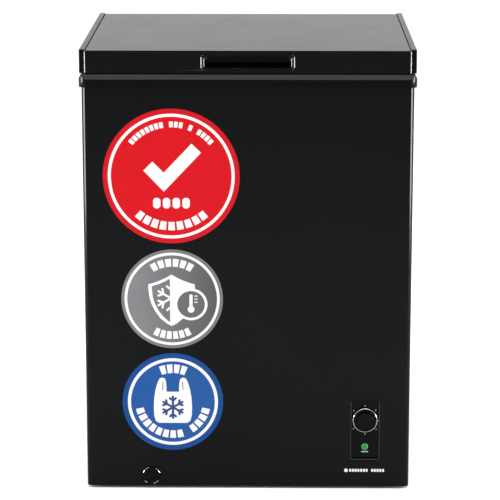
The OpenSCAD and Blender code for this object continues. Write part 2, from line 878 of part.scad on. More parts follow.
// Steel arm on the lid's back: plate, web and a knuckle on the pin
module hinge_arm(x) {
    color(steel) difference() {
        union() {
            block([x - 18, lid_back, pivot_z + 8], [x + 18, lid_back + 2.5, total_h - 6]);
            block([x - ear_in + 0.6, lid_back, pivot_z], [x, pivot_y, pivot_z + 8]);
            rod_x(x - ear_in + 0.6, pivot_y, pivot_z, knuckle_r - 0.5, ear_in - 0.6);
        }
        rod_x(x - 30, pivot_y, pivot_z, pin_r + run_gap, 60);
        for (side = [-1, 1]) rod_y(x + side * arm_screw_x, lid_back - 1, arm_screw_z, clear_r, 5);
    }
}

module hinge_arm_left() { hinge_arm(-hinge_x); }

module hinge_arm_right() { hinge_arm(hinge_x); }

module hinge_screws() {
    color(steel) screw_places() translate([0, 2, 0]) screw(4.5, 2.9);
}

module arm_screws() {
    color(steel) arm_screw_places() translate([0, 2.5, 0]) screw(4.5, 3.4);
}

// ---- lid -----------------------------------------------------------------

hem = 14;
pocket_back = lid_front + 32;
pocket_z = [lid_z + 6.5, lid_z + 6.5 + handle_h];
pocket_floor = lid_z + 14;
pocket_r = 4.5;

// Outline of the handle's frame, from one y to another
module handle_frame(y_low, y_high) {
    translate([0, y_high, 0]) rotate([90, 0, 0]) linear_extrude(y_high - y_low)
        round_rect([-handle_w / 2, pocket_z[0]], [handle_w / 2, pocket_z[1]], pocket_r);
}

// Folded sheet: top panel, front and back folds and their hems
module lid_skin() {
    color(black) difference() {
        block([-skin_x, lid_front, lid_z], [skin_x, lid_back, panel_z]);
        block([-lid_w, lid_front + sheet_t, lid_z + sheet_t], [lid_w, lid_back - sheet_t, panel_z - sheet_t]);
        block([-lid_w, lid_front + hem, lid_z - 1], [lid_w, lid_back - hem, lid_z + 2]);
        handle_frame(lid_front - 1, lid_front + 2);
        arm_screw_places() rod_y(0, -2, 0, clear_r, 4);
    }
}

// Moulded end cap: hollow from the inboard side
module lid_cap() {
    wall = 3;
    x = [skin_x, lid_w / 2];
    color(black) difference() {
        block([x[0], lid_front, lid_z], [x[1], lid_back, total_h]);
        block([x[0] - 1, lid_front + wall, lid_z + wall], [x[1] - wall, lid_back - wall, total_h - wall]);
    }
}

module lid_cap_left() { mirror([1, 0, 0]) lid_cap(); }

module lid_cap_right() { lid_cap(); }

channel_z = lid_z + 8.5;
plug_z = collar_z - 4;
plug_in = -50;
pan_t = 2;
pan_r = 6;
channel_in = [-12, -36];
liner_z = [lid_z + sheet_t, lid_z + sheet_t + pan_t];

// Pan under the lid: rim, gasket channel and shallow plug
module lid_liner() {
    x = skin_x;
    edge = [lid_front + sheet_t, lid_back - sheet_t];
    color(white) {
        translate([0, 0, liner_z[0]]) linear_extrude(pan_t) difference() {
            translate([-x, edge[0]]) square([2 * x, edge[1] - edge[0]]);
            plan(channel_in[0], pan_r);
        }
        ring(channel_in[0] + pan_t, channel_in[0], pan_r, [liner_z[1], channel_z]);
        ring(channel_in[0] + pan_t, channel_in[1] - pan_t, pan_r, [channel_z, channel_z + pan_t]);
        ring(channel_in[1], channel_in[1] - pan_t, pan_r, [liner_z[0], channel_z]);
        ring(channel_in[1], plug_in, pan_r, [liner_z[0], liner_z[1]]);
        ring(plug_in + pan_t, plug_in, pan_r, [plug_z, liner_z[0]]);
        translate([0, 0, plug_z]) linear_extrude(pan_t) plan(plug_in, pan_r);
    }
}

module lid_gasket() {
    color([0.75, 0.75, 0.75]) {
        ring(channel_in[0] - 3, channel_in[1] + 3, 8, [channel_z - 3, channel_z]);
        ring(channel_in[0] - 6, channel_in[1] + 6, 6, [collar_z + 0.3, channel_z - 3]);
    }
}

module lid_foam() {
    color([0.85, 0.75, 0.5]) difference() {
        union() {
            block([-skin_x, lid_front + sheet_t, channel_z + pan_t],
                  [skin_x, lid_back - sheet_t, panel_z - sheet_t]);
            translate([0, 0, plug_z + pan_t]) linear_extrude(channel_z - plug_z) plan(plug_in, pan_r);
        }
        block([-handle_w / 2 - 3, lid_front, lid_z], [handle_w / 2 + 3, pocket_back, total_h]);
        arm_screw_places() rod_y(0, -4, 0, clear_r + 0.4, 4);
    }
}

// Finger recess: flush frame, tub behind the skin and a cavity that undercuts the top edge
module handle_pocket() {
    half = handle_w / 2;
    y = lid_front;
    mouth = [pocket_z[0] + 3, pocket_z[1] - 3.5];
    color(black) difference() {
        union() {
            handle_frame(y, y + sheet_t);
            block([-half - 2, y + sheet_t, channel_z + pan_t], [half + 2, pocket_back, panel_z - sheet_t]);
            block([-half - 2, y + sheet_t, liner_z[1]], [half + 2, front_y + 9, channel_z + pan_t]);
        }
        intersection() {
            translate([-half, 0, 0]) rotate([90, 0, 90]) linear_extrude(handle_w) polygon([
                [y - 1, mouth[0]], [y + 9, pocket_floor], [pocket_back - 2, pocket_floor],
                [pocket_back - 2, pocket_z[1] + 3], [y + 8, pocket_z[1] + 3],
                [y + 4, mouth[1]], [y - 1, mouth[1]]
            ]);
            translate([0, 0, lid_z]) linear_extrude(lid_h) polygon([
                [-half + 3, y - 1], [half - 3, y - 1], [half - 9, y + 11], [half - 9, pocket_back - 2],
                [-half + 9, pocket_back - 2], [-half + 9, y + 11]
            ]);
        }
    }
}

// ---- assembly ------------------------------------------------------------

cabinet_shell();
back_panel();
base_pan();
feet();
top_collar();
inner_liner();
foam_insulation();
evaporator_coil();
condenser_coil();
bay_partition();
compressor_base_plate();
compressor_shell();
compressor_feet();
compressor_grommets();
compressor_bolts();
relay_cover();
refrigerant_lines();
filter_drier();
wiring();
service_grille();
grille_screws();
cord_gland();
rating_plate();
control_bezel();
thermostat_body();
thermostat_shaft();
thermostat_knob();
lamp_lens();
lamp_holder();
drain_sleeve();
drain_tube();
drain_funnel();
drain_seal_ring();
drain_spout();
drain_knob();
drain_plug();
basket();
front_badge();
sticker_red();
sticker_grey();
sticker_blue();
hinge_body_left();
hinge_body_right();
hinge_pin_left();
hinge_pin_right();
hinge_spring_left();
hinge_spring_right();
hinge_cover_left();
hinge_cover_right();
hinge_arm_left();
hinge_arm_right();
hinge_screws();
arm_screws();
lid_skin();
lid_cap_left();
lid_cap_right();
lid_foam();
lid_liner();
lid_gasket();
handle_pocket();
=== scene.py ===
import json
import math

import bmesh
import bpy
from mathutils import Matrix, Vector


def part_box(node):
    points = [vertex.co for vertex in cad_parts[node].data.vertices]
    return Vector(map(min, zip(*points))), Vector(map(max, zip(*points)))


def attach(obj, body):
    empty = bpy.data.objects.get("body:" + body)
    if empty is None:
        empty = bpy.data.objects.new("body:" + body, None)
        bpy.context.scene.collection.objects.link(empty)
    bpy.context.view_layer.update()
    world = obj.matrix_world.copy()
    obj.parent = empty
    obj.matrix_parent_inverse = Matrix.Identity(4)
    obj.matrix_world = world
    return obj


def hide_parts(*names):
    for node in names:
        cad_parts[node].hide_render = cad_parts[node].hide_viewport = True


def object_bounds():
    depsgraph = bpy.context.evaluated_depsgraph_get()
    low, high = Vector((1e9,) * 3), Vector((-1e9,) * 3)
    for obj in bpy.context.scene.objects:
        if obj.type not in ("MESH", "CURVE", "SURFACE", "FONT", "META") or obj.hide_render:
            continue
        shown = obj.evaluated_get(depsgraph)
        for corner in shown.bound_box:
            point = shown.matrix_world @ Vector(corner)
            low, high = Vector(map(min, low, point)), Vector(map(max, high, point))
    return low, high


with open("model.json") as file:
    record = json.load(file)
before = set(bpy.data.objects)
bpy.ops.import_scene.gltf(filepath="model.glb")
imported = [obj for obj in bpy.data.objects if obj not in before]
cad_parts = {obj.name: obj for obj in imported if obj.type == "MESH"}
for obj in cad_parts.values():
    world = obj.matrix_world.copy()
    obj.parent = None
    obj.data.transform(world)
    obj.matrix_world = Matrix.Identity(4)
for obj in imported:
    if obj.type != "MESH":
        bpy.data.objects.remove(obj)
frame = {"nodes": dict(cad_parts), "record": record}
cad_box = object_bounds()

MM = 0.001
nodes = frame["nodes"]
low_all = Vector(cad_box[0])


# ---- camera ----------------------------------------------------------------

# A long lens, given by its focal length in pixels of a 500 pixel frame. Places are in metres.
FRAME_PX = 500
SENSOR_MM = 36
FOCAL_PX = 2350
CAMERA_AWAY = 4.3
CAMERA_SIDE = 0.051
CAMERA_UP = 1.458
LOOK_DOWN = math.radians(12.92)
LOOK_LEFT = math.radians(0.624)


def make_camera():
    data = bpy.data.cameras.new("camera")
    data.sensor_width = SENSOR_MM
    data.lens = SENSOR_MM * FOCAL_PX / FRAME_PX
    camera = bpy.data.objects.new("camera", data)
    camera.location = (CAMERA_SIDE, low_all.y - CAMERA_AWAY, CAMERA_UP)
    camera.rotation_euler = (math.pi / 2 - LOOK_DOWN, 0, LOOK_LEFT)
    bpy.context.scene.collection.objects.link(camera)
    bpy.context.scene.camera = camera


# ---- node materials --------------------------------------------------------

class Tree:
    """A material's node tree, with short calls for the few nodes that the finishes use."""

    def __init__(self, name):
        self.material = bpy.data.materials.new(name)
        self.material.use_nodes = True
        self.tree = self.material.node_tree
        self.shader = self.tree.nodes["Principled BSDF"]
        self.place = self.tree.nodes.new("ShaderNodeTexCoord").outputs["Object"]

    def node(self, kind, **values):
        made = self.tree.nodes.new(kind)
        for key, value in values.items():
            if key in made.inputs:
                made.inputs[key].default_value = value
            else:
                setattr(made, key, value)
        return made

    def link(self, start, end):
        self.tree.links.new(start, end)

    def scaled(self, scale):
        mapping = self.node("ShaderNodeMapping")
        mapping.inputs["Scale"].default_value = scale
        self.link(self.place, mapping.inputs["Vector"])
        return mapping.outputs["Vector"]

    def noise(self, scale, detail=4.0, stretch=(1, 1, 1)):
        made = self.node("ShaderNodeTexNoise", Scale=scale, Detail=detail)
        self.link(self.scaled(stretch), made.inputs["Vector"])
        return made.outputs["Fac"]

    def cells(self, scale, smooth=0.6):
        made = self.node("ShaderNodeTexVoronoi", feature="SMOOTH_F1", Scale=scale, Smoothness=smooth)
        self.link(self.place, made.inputs["Vector"])
        return made.outputs["Distance"]

    def spread(self, value, low, high, from_low=0.3, from_high=0.7):
        made = self.node("ShaderNodeMapRange")
        made.inputs["From Min"].default_value = from_low
        made.inputs["From Max"].default_value = from_high
        made.inputs["To Min"].default_value = low
        made.inputs["To Max"].default_value = high
        self.link(value, made.inputs["Value"])
        return made.outputs["Result"]

    def blend(self, value, dark, light):
        made = self.node("ShaderNodeMix", data_type="RGBA")
        made.inputs[6].default_value = (*dark, 1)
        made.inputs[7].default_value = (*light, 1)
        self.link(self.spread(value, 0, 1), made.inputs["Factor"])
        return made.outputs[2]

    def bump(self, height, strength, distance):
        made = self.node("ShaderNodeBump", Strength=strength, Distance=distance)
        self.link(height, made.inputs["Height"])
        self.link(made.outputs["Normal"], self.shader.inputs["Normal"])

    def away_from(self, centre):
        made = self.node("ShaderNodeVectorMath", operation="DISTANCE")
        self.link(self.place, made.inputs[0])
        made.inputs[1].default_value = centre
        return made.outputs["Value"]

    def along(self, axis):
        made = self.node("ShaderNodeSeparateXYZ")
        self.link(self.place, made.inputs["Vector"])
        return made.outputs[axis]

    def mixed(self, factor, first, second):
        made = self.node("ShaderNodeMix", data_type="RGBA")
        for socket, value in zip((made.inputs[6], made.inputs[7]), (first, second)):
            if isinstance(value, tuple):
                socket.default_value = (*value, 1)
            else:
                self.link(value, socket)
        self.link(factor, made.inputs["Factor"])
        return made.outputs[2]

    def set(self, **values):
        for key, value in values.items():
            self.shader.inputs[key.replace("_", " ")].default_value = value


def tint(colour, factor):
    return tuple(min(1.0, c * factor) for c in colour)


def finish_of(name, colour, rough, vary=0.12, patch=9, metallic=0.0, ior=1.45,
              grain=900, grain_depth=0.00002, grain_strength=0.2, stretch=(1, 1, 1), detail=4.0):
    """A finish with mottled colour, uneven gloss and a fine surface grain, all in the object's own metres."""
    t = Tree(name)
    t.set(Metallic=metallic, IOR=ior)
    mottling = t.noise(patch, 6.0, stretch)
    t.link(t.blend(mottling, tint(colour, 1 - vary), tint(colour, 1 + vary)), t.shader.inputs["Base Color"])
    t.link(t.spread(t.noise(patch * 2.7, 5.0, stretch), rough[0], rough[1]), t.shader.inputs["Roughness"])
    t.bump(t.noise(grain, detail, stretch), grain_strength, grain_depth)
    return t


def gloss_paint():
    """Sprayed gloss paint: faint orange peel, and gloss that varies a little."""
    return finish_of("gloss_black_paint", (0.0014, 0.0019, 0.0022), (0.10, 0.16), vary=0.15, patch=5,
                     ior=1.17, grain=160, grain_strength=0.06, grain_depth=0.0002, detail=1.0).material


def black_plastic():
    """Moulded black plastic with a fine spark-eroded grain."""
    return finish_of("black_plastic", (0.0008, 0.0008, 0.0009), (0.12, 0.2), vary=0.2, patch=14,
                     ior=1.155, grain=1500, grain_strength=0.08, grain_depth=0.0001).material


def black_trim():
    """Polished black beading, which throws back the side lights as thin bright lines."""
    return finish_of("black_trim", (0.002, 0.002, 0.002), (0.05, 0.09), vary=0.2, patch=60,
                     ior=1.6, grain=1500, grain_strength=0.05, grain_depth=0.00005).material


def painted_gap_shade():
    """Painted shade standing in for a shadow gap: matt, and darker than the parts on each side of it."""
    return finish_of("painted_gap_shade", (0.002, 0.002, 0.002), (0.8, 0.95), vary=0.3, patch=90,
                     ior=1.08, grain=1200, grain_strength=0.3, grain_depth=0.0001).material


def dark_chrome():
    return finish_of("dark_chrome", (0.5, 0.51, 0.52), (0.1, 0.18), vary=0.06, patch=200, metallic=1.0,
                     grain=3000, grain_strength=0.1).material


def dark_enamel():
    return finish_of("black_enamel", (0.02, 0.02, 0.021), (0.35, 0.5), vary=0.3, patch=30,
                     grain=500, grain_strength=0.3, grain_depth=0.0002).material


def zinc_steel():
    """Galvanised sheet: spangle patches and a faint roll direction."""
    return finish_of("zinc_steel", (0.25, 0.26, 0.27), (0.3, 0.48), vary=0.16, patch=45, metallic=1.0,
                     grain=700, grain_strength=0.15, grain_depth=0.0001, stretch=(1, 1, 0.4)).material


def pin_steel():
    return finish_of("pin_steel", (0.66, 0.67, 0.68), (0.14, 0.26), vary=0.06, patch=200, metallic=1.0,
                     grain=3000, stretch=(0.2, 1, 1)).material


def white_tank():
    """White-lacquered aluminium with a pressed stucco pattern."""
    t = finish_of("white_tank", (0.72, 0.74, 0.74), (0.3, 0.42), vary=0.03, patch=12)
    t.bump(t.cells(260), 0.6, 0.0009)
    return t.material


def white_plastic():
    return finish_of("white_plastic", (0.54, 0.545, 0.54), (0.36, 0.5), vary=0.03, patch=16,
                     grain=1200, grain_strength=0.15, grain_depth=0.0001).material


def basket_coating():
    return finish_of("basket_coating", (0.64, 0.65, 0.65), (0.28, 0.4), vary=0.03, patch=60,
                     grain=900, grain_strength=0.2, grain_depth=0.00015).material


def foam():
    return finish_of("foam", (0.78, 0.64, 0.36), (0.8, 0.95), vary=0.12, patch=25,
                     grain=600, grain_strength=0.7, grain_depth=0.0008).material


def aluminium_tube():
    return finish_of("aluminium_tube", (0.7, 0.71, 0.72), (0.28, 0.45), vary=0.06, patch=80,
                     metallic=1.0).material


def copper_tube():
    return finish_of("copper_tube", (0.72, 0.34, 0.2), (0.25, 0.5), vary=0.18, patch=60,
                     metallic=1.0).material


def black_rubber():
    return finish_of("black_rubber", (0.018, 0.018, 0.018), (0.6, 0.8), vary=0.25, patch=60,
                     grain=1600, grain_strength=0.3, grain_depth=0.0001).material


def grey_gasket():
    return finish_of("grey_gasket", (0.22, 0.225, 0.23), (0.45, 0.6), vary=0.06, patch=40,
                     grain=1400, grain_strength=0.2, grain_depth=0.0001).material


def green_lens():
    t = finish_of("green_lens", (0.016, 0.18, 0.026), (0.12, 0.2), vary=0.2, patch=300, ior=1.3)
    t.set(Emission_Color=(0.03, 0.5, 0.07, 1), Emission_Strength=0.08)
    return t.material


def silver_foil():
    return finish_of("silver_foil", (0.42, 0.43, 0.44), (0.26, 0.4), vary=0.05, patch=120, metallic=1.0,
                     grain=1500, stretch=(0.05, 1, 1), grain_strength=0.25).material


def vinyl(name, left, right, rim, disc, ring_share):
    """Printed vinyl disc with a painted sheen: its colour fades from the lit left side to a darker right
    side, and it has a rim of another tone.
    """
    painted_sheen_start, rim_blur = 0.7, 4 * MM
    (x0, _, z0), (x1, y, z1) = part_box(disc)
    centre = Vector(((x0 + x1) / 2, y, (z0 + z1) / 2))
    radius = (x1 - x0) / 2
    t = finish_of(name, left, (0.28, 0.38), vary=0.05, patch=18, ior=1.2,
                  grain=700, grain_strength=0.08, grain_depth=0.0001)
    printed = t.shader.inputs["Base Color"].links[0].from_socket
    # Painted sheen: the colour fades from the left colour to the right one, as the light falls across the
    # disc.
    across = t.spread(t.along("X"), 0, 1, centre.x - radius * painted_sheen_start, centre.x + radius)
    inside = t.mixed(across, printed, right)
    edge = radius * ring_share
    is_rim = t.spread(t.away_from(centre), 0, 1, edge, edge + rim_blur)
    t.link(t.mixed(is_rim, inside, rim), t.shader.inputs["Base Color"])
    return t.material


def print_ink(name, colour):
    return finish_of(name, colour, (0.4, 0.5), vary=0.03, patch=90, ior=1.4,
                     grain=1500, grain_strength=0.1, grain_depth=0.00005).material


FINISHES = {
    "gloss_black_paint": gloss_paint(), "black_plastic": black_plastic(), "black_enamel": dark_enamel(),
    "zinc_steel": zinc_steel(), "pin_steel": pin_steel(), "white_tank": white_tank(),
    "white_plastic": white_plastic(), "basket_coating": basket_coating(), "foam": foam(),
    "aluminium_tube": aluminium_tube(), "copper_tube": copper_tube(), "black_rubber": black_rubber(),
    "grey_gasket": grey_gasket(), "green_lens": green_lens(), "silver_foil": silver_foil(),
    # Each vinyl's first two colours are its painted sheen, lit on the left and darker on the right; the third
    # is its rim.
    "red_vinyl": vinyl("red_vinyl", (0.51, 0.002, 0.007), (0.495, 0.002, 0.007), (0.47, 0.003, 0.009),
                       "sticker_red", 0.91),
    "grey_vinyl": vinyl("grey_vinyl", (0.175, 0.178, 0.185), (0.07, 0.07, 0.075), (0.15, 0.152, 0.155),
                        "sticker_grey", 0.93),
    "blue_vinyl": vinyl("blue_vinyl", (0.012, 0.073, 0.27), (0.014, 0.076, 0.26), (0.004, 0.05, 0.21),
                        "sticker_blue", 0.87),
}
beading, gap_shade, chrome = black_trim(), painted_gap_shade(), dark_chrome()
white_ink = print_ink("white_ink", (0.7, 0.7, 0.7))
grey_ink = print_ink("grey_ink", (0.3, 0.3, 0.3))
dark_ink = print_ink("dark_ink", (0.02, 0.02, 0.02))
lens_rim = print_ink("lens_rim", (0.15, 0.4, 0.18))
disc_grey = print_ink("disc_grey", (0.085, 0.085, 0.088))
deep_blue = print_ink("deep_blue", (0.005, 0.03, 0.16))


def dress_cad_nodes():
    slot_of = {row["node"]: row["material_slot"] for row in frame["record"]["subparts"]}
    for name, piece in nodes.items():
        piece.data.materials.clear()
        piece.data.materials.append(FINISHES[slot_of[name]])


# ---- edges of CAD nodes ----------------------------------------------------

def soften(name, width, segments=2, angle=35):
    """Breaks a CAD node's edges, which catch a thin line of light on the real part."""
    piece = nodes[name]
    weld = piece.modifiers.new("weld", "WELD")
    weld.merge_threshold = 0.01 * MM
    bevel = piece.modifiers.new("bevel", "BEVEL")
    bevel.width = width
    bevel.segments = segments
    bevel.limit_method = "ANGLE"
    bevel.angle_limit = math.radians(angle)
    bevel.harden_normals = True
    bevel.use_clamp_overlap = True


# How far each node's edges are broken back, in millimetres
SOFT_EDGES = {
    "lid_cap_left": 1.6, "lid_cap_right": 1.6, "top_collar": 0.9, "handle_pocket": 0.7, "control_bezel": 0.4,
    "thermostat_knob": 0.3, "drain_knob": 0.5, "drain_plug": 0.6, "hinge_cover_left": 1.5,
    "hinge_cover_right": 1.5, "lid_skin": 0.4, "hinge_body_left": 0.5, "hinge_body_right": 0.5,
    "hinge_arm_left": 0.5, "hinge_arm_right": 0.5, "feet": 0.8, "cord_gland": 0.6, "service_grille": 0.3,
    "front_badge": 0.2, "relay_cover": 0.8,
}


# ---- pieces made here ------------------------------------------------------

def add_piece(name, mesh, finish, body, slot, *stands_for):
    piece = bpy.data.objects.new(name, mesh)
    bpy.context.scene.collection.objects.link(piece)
    mesh.materials.clear()
    mesh.materials.append(finish)
    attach(piece, body)
    if stands_for:
        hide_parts(*stands_for)
    return piece


def curve_mesh(name, paths, closed=False, **shape):
    """A mesh from a curve: wires if it has a bevel_depth, or filled flat shapes if it is two-dimensional."""
    curve = bpy.data.curves.new(name, "CURVE")
    for key, value in shape.items():
        setattr(curve, key, value)
    for path in paths:
        spline = curve.splines.new("POLY")
        spline.points.add(len(path) - 1)
        spline.use_cyclic_u = closed
        for point, place in zip(spline.points, path):
            point.co = (*place, *(0,) * (3 - len(place)), 1)
    carrier = bpy.data.objects.new(name, curve)
    mesh = bpy.data.meshes.new_from_object(carrier)
    bpy.data.objects.remove(carrier)
    return mesh


def wires(name, paths, radius, closed=False):
    mesh = curve_mesh(name, paths, closed, dimensions="3D", bevel_depth=radius, bevel_resolution=2,
                      use_fill_caps=not closed)
    mesh.polygons.foreach_set("use_smooth", [True] * len(mesh.polygons))
    return mesh


def joined(name, meshes):
    whole = bmesh.new()
    for mesh in meshes:
        whole.from_mesh(mesh)
        bpy.data.meshes.remove(mesh)
    result = bpy.data.meshes.new(name)
    whole.to_mesh(result)
    whole.free()
    return result


# Turns that stand a flat drawing up against the front or the back
LOOKS_FORWARD = ((1, 0, 0), (0, 0, -1), (0, 1, 0))
LOOKS_BACK = ((-1, 0, 0), (0, 0, 1), (0, 1, 0))

# Millimetres that the first shape of a print stands off its face, and that each shape adds
PRINT_LIFT = 0.05
PRINT_STEP = 0.004


def flat_print(name, shapes, centre, face_y, lift=PRINT_LIFT, turn=LOOKS_FORWARD):
    """Flat shapes standing a little off an upright face. Each shape is a list of outlines in millimetres,
    and each stands slightly higher than the one before it, so that overlaps stay clean."""
    meshes = []
    for i, outlines in enumerate(shapes):
        height = (lift + PRINT_STEP * i) * MM
        mesh = curve_mesh(f"{name}_{i}", [[(u * MM, v * MM) for u, v in line] for line in outlines], True,
                          dimensions="2D", fill_mode="BOTH", extrude=height / 2)
        mesh.transform(Matrix.Translation((0, 0, height / 2)))
        meshes.append(mesh)
    mesh = joined(name, meshes)
    mesh.transform(Matrix.Translation((centre[0], face_y, centre[1])) @ Matrix(turn).to_4x4())
    return mesh


def circle(radius, x=0.0, z=0.0, count=96):
    return [(x + radius * math.cos(a), z + radius * math.sin(a))
            for a in (2 * math.pi * i / count for i in range(count))]


def sector(inner, outer, start, end, steps=3):
    angles = [math.radians(start + (end - start) * i / steps) for i in range(steps + 1)]
    return ([(outer * math.cos(a), outer * math.sin(a)) for a in angles]
            + [(inner * math.cos(a), inner * math.sin(a)) for a in reversed(angles)])


def bar(start, end, width):
    """A rectangle along a line, with cut corners."""
    start, end = Vector(start), Vector(end)
    along = (end - start).normalized()
    side = Vector((-along.y, along.x)) * width / 2
    nick = along * width * 0.2
    tip = side * 0.6
    return [tuple(p) for p in (start + tip, start + nick + side, end - nick + side, end + tip,
                               end - tip, end - nick - side, start + nick - side, start - tip)]


def cells(groups, fill=0.76):
    """Start and end shares, from 0 to 1, of blocks set in groups with one empty place between groups."""
    places = sum(groups) + len(groups) - 1
    at = 0
    for count in groups:
        for i in range(at, at + count):
            yield (i + (1 - fill) / 2) / places, (i + (1 + fill) / 2) / places
        at += count + 1


def curved_blocks(groups, inner, outer, start, end):
    """Blocks along an arc between two angles, in degrees, where the real print has words."""
    return [[sector(inner, outer, start + (end - start) * a, start + (end - start) * b)]
            for a, b in cells(groups)]


def level_blocks(groups, low, high):
    """Blocks in a level row that fills the space between two corners."""
    width, middle = high[0] - low[0], (low[1] + high[1]) / 2
    return [[bar((low[0] + width * a, middle), (low[0] + width * b, middle), high[1] - low[1])]
            for a, b in cells(groups)]


def mirrored(points, x):
    """A whole outline from its right half, which starts and ends on the upright line at x."""
    return points + [(2 * x - u, v) for u, v in reversed(points[1:-1])]


def disc_print(disc, name, shapes, finish, slot, lift=PRINT_LIFT):
    """Shapes in millimetres from a disc's middle, printed on its face."""
    (x0, y, z0), (x1, _, z1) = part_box(disc)
    mesh = flat_print(name, shapes, ((x0 + x1) / 2, (z0 + z1) / 2), y, lift)
    return add_piece(name, mesh, finish, "cabinet", slot)


def print_red_disc():
    """Ring, a bold tick, and blocks in place of words."""
    tick = [(-52, 11), (-35, 28), (-14, 7), (38, 62), (56, 45), (-14, -29)]
    shapes = [[circle(118.6), circle(112.9)], [tick]]
    shapes += curved_blocks([8, 3, 1, 4], inner=93, outer=104, start=141, end=39)
    shapes += level_blocks([4], (-36.5, -61), (36.5, -41))
    shapes += curved_blocks([9], inner=87, outer=103, start=227, end=313)
    disc_print("sticker_red", "sticker_red_print", shapes, white_ink, "white_plastic")


def snowflake(x, z, reach, width):
    """Six arms, each with a pair of twigs."""
    twig_at, twig_long, twig_angle = 0.58, 0.4, 50
    shapes = []
    for turn in range(6):
        angle = math.radians(60 * turn + 30)
        out = Vector((math.cos(angle), math.sin(angle)))
        middle = Vector((x, z))
        shapes.append([bar(middle, middle + out * reach, width)])
        for side in (-twig_angle, twig_angle):
            twig = Matrix.Rotation(math.radians(side), 2) @ out
            root = middle + out * reach * twig_at
            shapes.append([bar(root, root + twig * reach * twig_long, width)])
    return shapes


def print_grey_disc():
    """Ring, a shield with half a snowflake, a round window with a thermometer, and blocks for words."""
    half = [(-1, 47.6), (10, 41), (22, 35.5), (34, 31), (43, 28.8), (43, 20), (41, 4), (37, -10), (30, -24),
            (20, -38), (8, -48), (-1, -52.6)]
    hollow = [(-4, 39.5), (-12, 35), (-24, 29.5), (-38.5, 24.6), (-38, 18), (-36.5, 4), (-33, -8),
              (-26.5, -21.5), (-17.5, -33.5), (-8, -42.5), (-4, -45.5)]
    window_x, window_z = 35.7, -10.3
    shapes = [[circle(90), circle(84.8)], [mirrored(half, -1), hollow]]
    shapes += snowflake(-2, 1.6, reach=29, width=4)
    shapes += [[circle(31, window_x, window_z)]]
    shapes += curved_blocks([6], inner=63, outer=78, start=124, end=56)
    shapes += curved_blocks([6], inner=63, outer=78, start=241, end=299)
    disc_print("sticker_grey", "sticker_grey_print", shapes, white_ink, "white_plastic")
    window = [[circle(26, window_x, window_z)]]
    disc_print("sticker_grey", "sticker_grey_window", window, disc_grey, "grey_vinyl", 0.2)
    gauge = [[circle(6.5, window_x, -20)], [bar((window_x, -18), (window_x, 9), 6)]]
    gauge += [[bar((42, z), (48, z), 2)] for z in (-6, 0, 6)]
    disc_print("sticker_grey", "sticker_grey_gauge", gauge, white_ink, "white_plastic", 0.24)


def print_blue_disc():
    """Ring, a carrier bag with a snowflake on it, and blocks in place of words."""
    right = [(0, -42), (27, -42), (33, -38), (36, -26), (36.5, -8), (35.5, 8), (33, 24), (29, 38), (25, 46),
             (20, 48), (15, 46), (13, 40), (12, 30), (12, 20), (0, 20)]
    shapes = [[circle(86), circle(80)], [mirrored(right, 0)]]
    shapes += curved_blocks([4], inner=57, outer=74, start=112, end=66)
    shapes += curved_blocks([8, 4], inner=57, outer=72, start=190, end=350)
    disc_print("sticker_blue", "sticker_blue_print", shapes, white_ink, "white_plastic")
    folds = [[bar((side * 19.5, 23), (side * 18.5, 40), 1.6)] for side in (-1, 1)]
    folds += snowflake(0, -11, reach=23, width=4.4)
    disc_print("sticker_blue", "sticker_blue_folds", folds, deep_blue, "blue_vinyl", 0.12)


def middle_of(low, high):
    """The middle of a node's box as the front shows it: x and z."""
    return Vector(((low[0] + high[0]) / 2, (low[2] + high[2]) / 2))


def mark_dial():
    """Setting marks round the dial, and a fainter one on the panel's right edge."""
    reach, drop, mark_lift = 28, 0.8, 0.1
    dial = middle_of(*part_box("thermostat_knob"))
    panel_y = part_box("lamp_lens")[1].y - 2 * MM
    marks = [[circle(1.25, reach * math.cos(a), reach * math.sin(a) - drop, 20)]
             for a in (math.radians(angle) for angle in (90, 44, -40, -90, -142, 139))]
    marks_mesh = flat_print("dial_marks", marks, dial, panel_y, mark_lift)
    add_piece("dial_marks", marks_mesh, grey_ink, "cabinet", "white_plastic")
    edge_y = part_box("control_bezel")[0].y
    side_mesh = flat_print("dial_side_mark", [[circle(0.8, 26, 0, 20)]], dial, edge_y, mark_lift)
    add_piece("dial_side_mark", side_mesh, grey_ink, "cabinet", "white_plastic")


def mark_lamp():
    """A line under the lamp, where the real panel has its caption."""
    below, half_long, thick, line_lift = 9.9, 6.6, 2.6, 0.1
    low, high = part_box("lamp_lens")
    line = [[bar((-half_long, -below), (half_long, -below), thick)]]
    mesh = flat_print("lamp_line", line, middle_of(low, high), high.y - 2 * MM, line_lift)
    add_piece("lamp_line", mesh, grey_ink, "cabinet", "white_plastic")


def print_badge():
    """A dot and a row of blocks, in place of a name."""
    badge_lift = 0.25
    low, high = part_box("front_badge")
    name = [[circle(3.6, -35.6, 0, 32)]] + level_blocks([7, 5], (-30, -3), (38, 3))
    mesh = flat_print("badge_print", name, middle_of(low, high), high.y, badge_lift)
    add_piece("badge_print", mesh, white_ink, "cabinet", "silver_foil", "front_badge")


def rectangle(half_x, half_z):
    return [(-half_x, -half_z), (half_x, -half_z), (half_x, half_z), (-half_x, half_z)]


def print_rating_plate():
    """A ruled border and plain rows of blocks on the foil plate at the back."""
    low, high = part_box("rating_plate")
    left, top, row_pitch, half_row, block_pitch = -41, 19, 9.5, 1.4, 5
    shapes = [[rectangle(47, 27), rectangle(46.2, 26.2)]]
    for i, groups in enumerate(([4, 6], [7, 3, 5], [5, 4, 2, 4], [3, 8, 3], [6, 5])):
        z = top - row_pitch * i
        right = left + block_pitch * (sum(groups) + len(groups) - 1)
        shapes += level_blocks(groups, (left, z - half_row), (right, z + half_row))
    mesh = flat_print("rating_plate_print", shapes, middle_of(low, high), high.y, turn=LOOKS_BACK)
    add_piece("rating_plate_print", mesh, dark_ink, "cabinet", "silver_foil")


